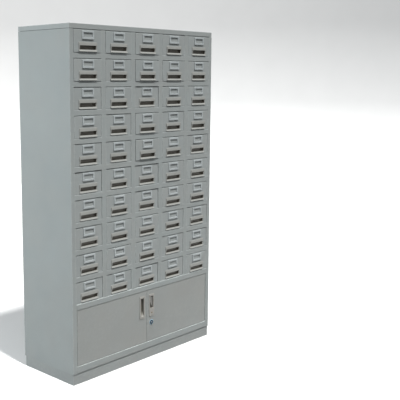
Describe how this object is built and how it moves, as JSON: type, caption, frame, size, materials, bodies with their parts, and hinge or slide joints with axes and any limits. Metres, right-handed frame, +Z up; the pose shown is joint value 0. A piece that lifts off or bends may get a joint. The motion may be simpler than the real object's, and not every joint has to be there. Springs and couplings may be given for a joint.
{
  "type": "card catalog cabinet",
  "caption": "Upright sheet-steel catalog cabinet: a grid of small card drawers with label holders and cup pulls, over a cupboard with hinged doors and a cam lock.",
  "frame": {"origin": "centre of the bounding box's bottom face: the floor under the middle of the cabinet", "axes": "+Z up, +X to the right of someone facing the drawers, the drawers' fronts face -Y"},
  "size_m": [1.07, 0.4084, 1.8],
  "materials": {
    "case_paint": "light grey powder coat, fine texture, semi-matt",
    "plinth_paint": "the same grey powder coat",
    "drawer_paint": "light grey powder coat, fine texture, semi-matt",
    "door_paint": "light grey powder coat, fine texture, semi-matt",
    "label_plastic": "moulded cool grey plastic, satin",
    "pull_plastic": "moulded warm grey plastic, satin",
    "cup_plastic": "moulded warm grey plastic, satin",
    "lever_plastic": "moulded grey plastic, satin",
    "lock_metal": "bright plated zinc",
    "lock_ring": "dark blue moulded ring"
  },
  "bodies": {
    "cabinet": {"plinth_base": "plinth_paint", "cabinet_shell": "case_paint", "top_cap": "case_paint", "drawer_rack": "case_paint"},
    "left_door": {"left_door": "door_paint", "left_handle_cup": "cup_plastic"},
    "right_door": {"right_door": "door_paint", "right_handle_cup": "cup_plastic"},
    "latch_lever": {"latch_lever": "lever_plastic"},
    "cam_lock": {"cam_lock": "lock_metal"},
    "drawer_r01_c1": {"drawer_r01_c1": "drawer_paint"},
    "drawer_r01_c2": {"drawer_r01_c2": "drawer_paint"},
    "drawer_r01_c3": {"drawer_r01_c3": "drawer_paint"},
    "drawer_r01_c4": {"drawer_r01_c4": "drawer_paint"},
    "drawer_r01_c5": {"drawer_r01_c5": "drawer_paint"},
    "drawer_r02_c1": {"drawer_r02_c1": "drawer_paint"},
    "drawer_r02_c2": {"drawer_r02_c2": "drawer_paint"},
    "drawer_r02_c3": {"drawer_r02_c3": "drawer_paint"},
    "drawer_r02_c4": {"drawer_r02_c4": "drawer_paint"},
    "drawer_r02_c5": {"drawer_r02_c5": "drawer_paint"},
    "drawer_r03_c1": {"drawer_r03_c1": "drawer_paint"},
    "drawer_r03_c2": {"drawer_r03_c2": "drawer_paint"},
    "drawer_r03_c3": {"drawer_r03_c3": "drawer_paint"},
    "drawer_r03_c4": {"drawer_r03_c4": "drawer_paint"},
    "drawer_r03_c5": {"drawer_r03_c5": "drawer_paint"},
    "drawer_r04_c1": {"drawer_r04_c1": "drawer_paint"},
    "drawer_r04_c2": {"drawer_r04_c2": "drawer_paint"},
    "drawer_r04_c3": {"drawer_r04_c3": "drawer_paint"},
    "drawer_r04_c4": {"drawer_r04_c4": "drawer_paint"},
    "drawer_r04_c5": {"drawer_r04_c5": "drawer_paint"},
    "drawer_r05_c1": {"drawer_r05_c1": "drawer_paint"},
    "drawer_r05_c2": {"drawer_r05_c2": "drawer_paint"},
    "drawer_r05_c3": {"drawer_r05_c3": "drawer_paint"},
    "drawer_r05_c4": {"drawer_r05_c4": "drawer_paint"},
    "drawer_r05_c5": {"drawer_r05_c5": "drawer_paint"},
    "drawer_r06_c1": {"drawer_r06_c1": "drawer_paint"},
    "drawer_r06_c2": {"drawer_r06_c2": "drawer_paint"},
    "drawer_r06_c3": {"drawer_r06_c3": "drawer_paint"},
    "drawer_r06_c4": {"drawer_r06_c4": "drawer_paint"},
    "drawer_r06_c5": {"drawer_r06_c5": "drawer_paint"},
    "drawer_r07_c1": {"drawer_r07_c1": "drawer_paint"},
    "drawer_r07_c2": {"drawer_r07_c2": "drawer_paint"},
    "drawer_r07_c3": {"drawer_r07_c3": "drawer_paint"},
    "drawer_r07_c4": {"drawer_r07_c4": "drawer_paint"},
    "drawer_r07_c5": {"drawer_r07_c5": "drawer_paint"},
    "drawer_r08_c1": {"drawer_r08_c1": "drawer_paint"},
    "drawer_r08_c2": {"drawer_r08_c2": "drawer_paint"},
    "drawer_r08_c3": {"drawer_r08_c3": "drawer_paint"},
    "drawer_r08_c4": {"drawer_r08_c4": "drawer_paint"},
    "drawer_r08_c5": {"drawer_r08_c5": "drawer_paint"},
    "drawer_r09_c1": {"drawer_r09_c1": "drawer_paint"},
    "drawer_r09_c2": {"drawer_r09_c2": "drawer_paint"},
    "drawer_r09_c3": {"drawer_r09_c3": "drawer_paint"},
    "drawer_r09_c4": {"drawer_r09_c4": "drawer_paint"},
    "drawer_r09_c5": {"drawer_r09_c5": "drawer_paint"},
    "drawer_r10_c1": {"drawer_r10_c1": "drawer_paint"},
    "drawer_r10_c2": {"drawer_r10_c2": "drawer_paint"},
    "drawer_r10_c3": {"drawer_r10_c3": "drawer_paint"},
    "drawer_r10_c4": {"drawer_r10_c4": "drawer_paint"},
    "drawer_r10_c5": {"drawer_r10_c5": "drawer_paint"}
  },
  "joints": [
    {"name": "cupboard_left_door", "type": "hinge", "parent": "cabinet", "child": "left_door", "pos_m": [-0.5008, -0.19075, 0.2415], "axis": [0, 0, -1], "range_deg": [0, 105]},
    {"name": "cupboard_right_door", "type": "hinge", "parent": "cabinet", "child": "right_door", "pos_m": [0.5008, -0.19075, 0.2415], "axis": [0, 0, 1], "range_deg": [0, 105]},
    {"name": "cupboard_latch_lever", "type": "hinge", "parent": "right_door", "child": "latch_lever", "pos_m": [0.046, -0.19225, 0.315], "axis": [0, 0, 1], "range_deg": [0, 25], "stiffness_Nm_per_rad": 0.02},
    {"name": "cam_lock_turn", "type": "hinge", "parent": "right_door", "child": "cam_lock", "pos_m": [0.0366, -0.19475, 0.2], "axis": [0, 1, 0], "range_deg": [0, 90]},
    {"name": "drawer_r01_c1_slide", "type": "slide", "parent": "cabinet", "child": "drawer_r01_c1", "axis": [0, -1, 0], "range_m": [0, 0.33]},
    {"name": "drawer_r01_c2_slide", "type": "slide", "parent": "cabinet", "child": "drawer_r01_c2", "axis": [0, -1, 0], "range_m": [0, 0.33]},
    {"name": "drawer_r01_c3_slide", "type": "slide", "parent": "cabinet", "child": "drawer_r01_c3", "axis": [0, -1, 0], "range_m": [0, 0.33]},
    {"name": "drawer_r01_c4_slide", "type": "slide", "parent": "cabinet", "child": "drawer_r01_c4", "axis": [0, -1, 0], "range_m": [0, 0.33]},
    {"name": "drawer_r01_c5_slide", "type": "slide", "parent": "cabinet", "child": "drawer_r01_c5", "axis": [0, -1, 0], "range_m": [0, 0.33]},
    {"name": "drawer_r02_c1_slide", "type": "slide", "parent": "cabinet", "child": "drawer_r02_c1", "axis": [0, -1, 0], "range_m": [0, 0.33]},
    {"name": "drawer_r02_c2_slide", "type": "slide", "parent": "cabinet", "child": "drawer_r02_c2", "axis": [0, -1, 0], "range_m": [0, 0.33]},
    {"name": "drawer_r02_c3_slide", "type": "slide", "parent": "cabinet", "child": "drawer_r02_c3", "axis": [0, -1, 0], "range_m": [0, 0.33]},
    {"name": "drawer_r02_c4_slide", "type": "slide", "parent": "cabinet", "child": "drawer_r02_c4", "axis": [0, -1, 0], "range_m": [0, 0.33]},
    {"name": "drawer_r02_c5_slide", "type": "slide", "parent": "cabinet", "child": "drawer_r02_c5", "axis": [0, -1, 0], "range_m": [0, 0.33]},
    {"name": "drawer_r03_c1_slide", "type": "slide", "parent": "cabinet", "child": "drawer_r03_c1", "axis": [0, -1, 0], "range_m": [0, 0.33]},
    {"name": "drawer_r03_c2_slide", "type": "slide", "parent": "cabinet", "child": "drawer_r03_c2", "axis": [0, -1, 0], "range_m": [0, 0.33]},
    {"name": "drawer_r03_c3_slide", "type": "slide", "parent": "cabinet", "child": "drawer_r03_c3", "axis": [0, -1, 0], "range_m": [0, 0.33]},
    {"name": "drawer_r03_c4_slide", "type": "slide", "parent": "cabinet", "child": "drawer_r03_c4", "axis": [0, -1, 0], "range_m": [0, 0.33]},
    {"name": "drawer_r03_c5_slide", "type": "slide", "parent": "cabinet", "child": "drawer_r03_c5", "axis": [0, -1, 0], "range_m": [0, 0.33]},
    {"name": "drawer_r04_c1_slide", "type": "slide", "parent": "cabinet", "child": "drawer_r04_c1", "axis": [0, -1, 0], "range_m": [0, 0.33]},
    {"name": "drawer_r04_c2_slide", "type": "slide", "parent": "cabinet", "child": "drawer_r04_c2", "axis": [0, -1, 0], "range_m": [0, 0.33]},
    {"name": "drawer_r04_c3_slide", "type": "slide", "parent": "cabinet", "child": "drawer_r04_c3", "axis": [0, -1, 0], "range_m": [0, 0.33]},
    {"name": "drawer_r04_c4_slide", "type": "slide", "parent": "cabinet", "child": "drawer_r04_c4", "axis": [0, -1, 0], "range_m": [0, 0.33]},
    {"name": "drawer_r04_c5_slide", "type": "slide", "parent": "cabinet", "child": "drawer_r04_c5", "axis": [0, -1, 0], "range_m": [0, 0.33]},
    {"name": "drawer_r05_c1_slide", "type": "slide", "parent": "cabinet", "child": "drawer_r05_c1", "axis": [0, -1, 0], "range_m": [0, 0.33]},
    {"name": "drawer_r05_c2_slide", "type": "slide", "parent": "cabinet", "child": "drawer_r05_c2", "axis": [0, -1, 0], "range_m": [0, 0.33]},
    {"name": "drawer_r05_c3_slide", "type": "slide", "parent": "cabinet", "child": "drawer_r05_c3", "axis": [0, -1, 0], "range_m": [0, 0.33]},
    {"name": "drawer_r05_c4_slide", "type": "slide", "parent": "cabinet", "child": "drawer_r05_c4", "axis": [0, -1, 0], "range_m": [0, 0.33]},
    {"name": "drawer_r05_c5_slide", "type": "slide", "parent": "cabinet", "child": "drawer_r05_c5", "axis": [0, -1, 0], "range_m": [0, 0.33]},
    {"name": "drawer_r06_c1_slide", "type": "slide", "parent": "cabinet", "child": "drawer_r06_c1", "axis": [0, -1, 0], "range_m": [0, 0.33]},
    {"name": "drawer_r06_c2_slide", "type": "slide", "parent": "cabinet", "child": "drawer_r06_c2", "axis": [0, -1, 0], "range_m": [0, 0.33]},
    {"name": "drawer_r06_c3_slide", "type": "slide", "parent": "cabinet", "child": "drawer_r06_c3", "axis": [0, -1, 0], "range_m": [0, 0.33]},
    {"name": "drawer_r06_c4_slide", "type": "slide", "parent": "cabinet", "child": "drawer_r06_c4", "axis": [0, -1, 0], "range_m": [0, 0.33]},
    {"name": "drawer_r06_c5_slide", "type": "slide", "parent": "cabinet", "child": "drawer_r06_c5", "axis": [0, -1, 0], "range_m": [0, 0.33]},
    {"name": "drawer_r07_c1_slide", "type": "slide", "parent": "cabinet", "child": "drawer_r07_c1", "axis": [0, -1, 0], "range_m": [0, 0.33]},
    {"name": "drawer_r07_c2_slide", "type": "slide", "parent": "cabinet", "child": "drawer_r07_c2", "axis": [0, -1, 0], "range_m": [0, 0.33]},
    {"name": "drawer_r07_c3_slide", "type": "slide", "parent": "cabinet", "child": "drawer_r07_c3", "axis": [0, -1, 0], "range_m": [0, 0.33]},
    {"name": "drawer_r07_c4_slide", "type": "slide", "parent": "cabinet", "child": "drawer_r07_c4", "axis": [0, -1, 0], "range_m": [0, 0.33]},
    {"name": "drawer_r07_c5_slide", "type": "slide", "parent": "cabinet", "child": "drawer_r07_c5", "axis": [0, -1, 0], "range_m": [0, 0.33]},
    {"name": "drawer_r08_c1_slide", "type": "slide", "parent": "cabinet", "child": "drawer_r08_c1", "axis": [0, -1, 0], "range_m": [0, 0.33]},
    {"name": "drawer_r08_c2_slide", "type": "slide", "parent": "cabinet", "child": "drawer_r08_c2", "axis": [0, -1, 0], "range_m": [0, 0.33]},
    {"name": "drawer_r08_c3_slide", "type": "slide", "parent": "cabinet", "child": "drawer_r08_c3", "axis": [0, -1, 0], "range_m": [0, 0.33]},
    {"name": "drawer_r08_c4_slide", "type": "slide", "parent": "cabinet", "child": "drawer_r08_c4", "axis": [0, -1, 0], "range_m": [0, 0.33]},
    {"name": "drawer_r08_c5_slide", "type": "slide", "parent": "cabinet", "child": "drawer_r08_c5", "axis": [0, -1, 0], "range_m": [0, 0.33]},
    {"name": "drawer_r09_c1_slide", "type": "slide", "parent": "cabinet", "child": "drawer_r09_c1", "axis": [0, -1, 0], "range_m": [0, 0.33]},
    {"name": "drawer_r09_c2_slide", "type": "slide", "parent": "cabinet", "child": "drawer_r09_c2", "axis": [0, -1, 0], "range_m": [0, 0.33]},
    {"name": "drawer_r09_c3_slide", "type": "slide", "parent": "cabinet", "child": "drawer_r09_c3", "axis": [0, -1, 0], "range_m": [0, 0.33]},
    {"name": "drawer_r09_c4_slide", "type": "slide", "parent": "cabinet", "child": "drawer_r09_c4", "axis": [0, -1, 0], "range_m": [0, 0.33]},
    {"name": "drawer_r09_c5_slide", "type": "slide", "parent": "cabinet", "child": "drawer_r09_c5", "axis": [0, -1, 0], "range_m": [0, 0.33]},
    {"name": "drawer_r10_c1_slide", "type": "slide", "parent": "cabinet", "child": "drawer_r10_c1", "axis": [0, -1, 0], "range_m": [0, 0.33]},
    {"name": "drawer_r10_c2_slide", "type": "slide", "parent": "cabinet", "child": "drawer_r10_c2", "axis": [0, -1, 0], "range_m": [0, 0.33]},
    {"name": "drawer_r10_c3_slide", "type": "slide", "parent": "cabinet", "child": "drawer_r10_c3", "axis": [0, -1, 0], "range_m": [0, 0.33]},
    {"name": "drawer_r10_c4_slide", "type": "slide", "parent": "cabinet", "child": "drawer_r10_c4", "axis": [0, -1, 0], "range_m": [0, 0.33]},
    {"name": "drawer_r10_c5_slide", "type": "slide", "parent": "cabinet", "child": "drawer_r10_c5", "axis": [0, -1, 0], "range_m": [0, 0.33]}
  ]
}
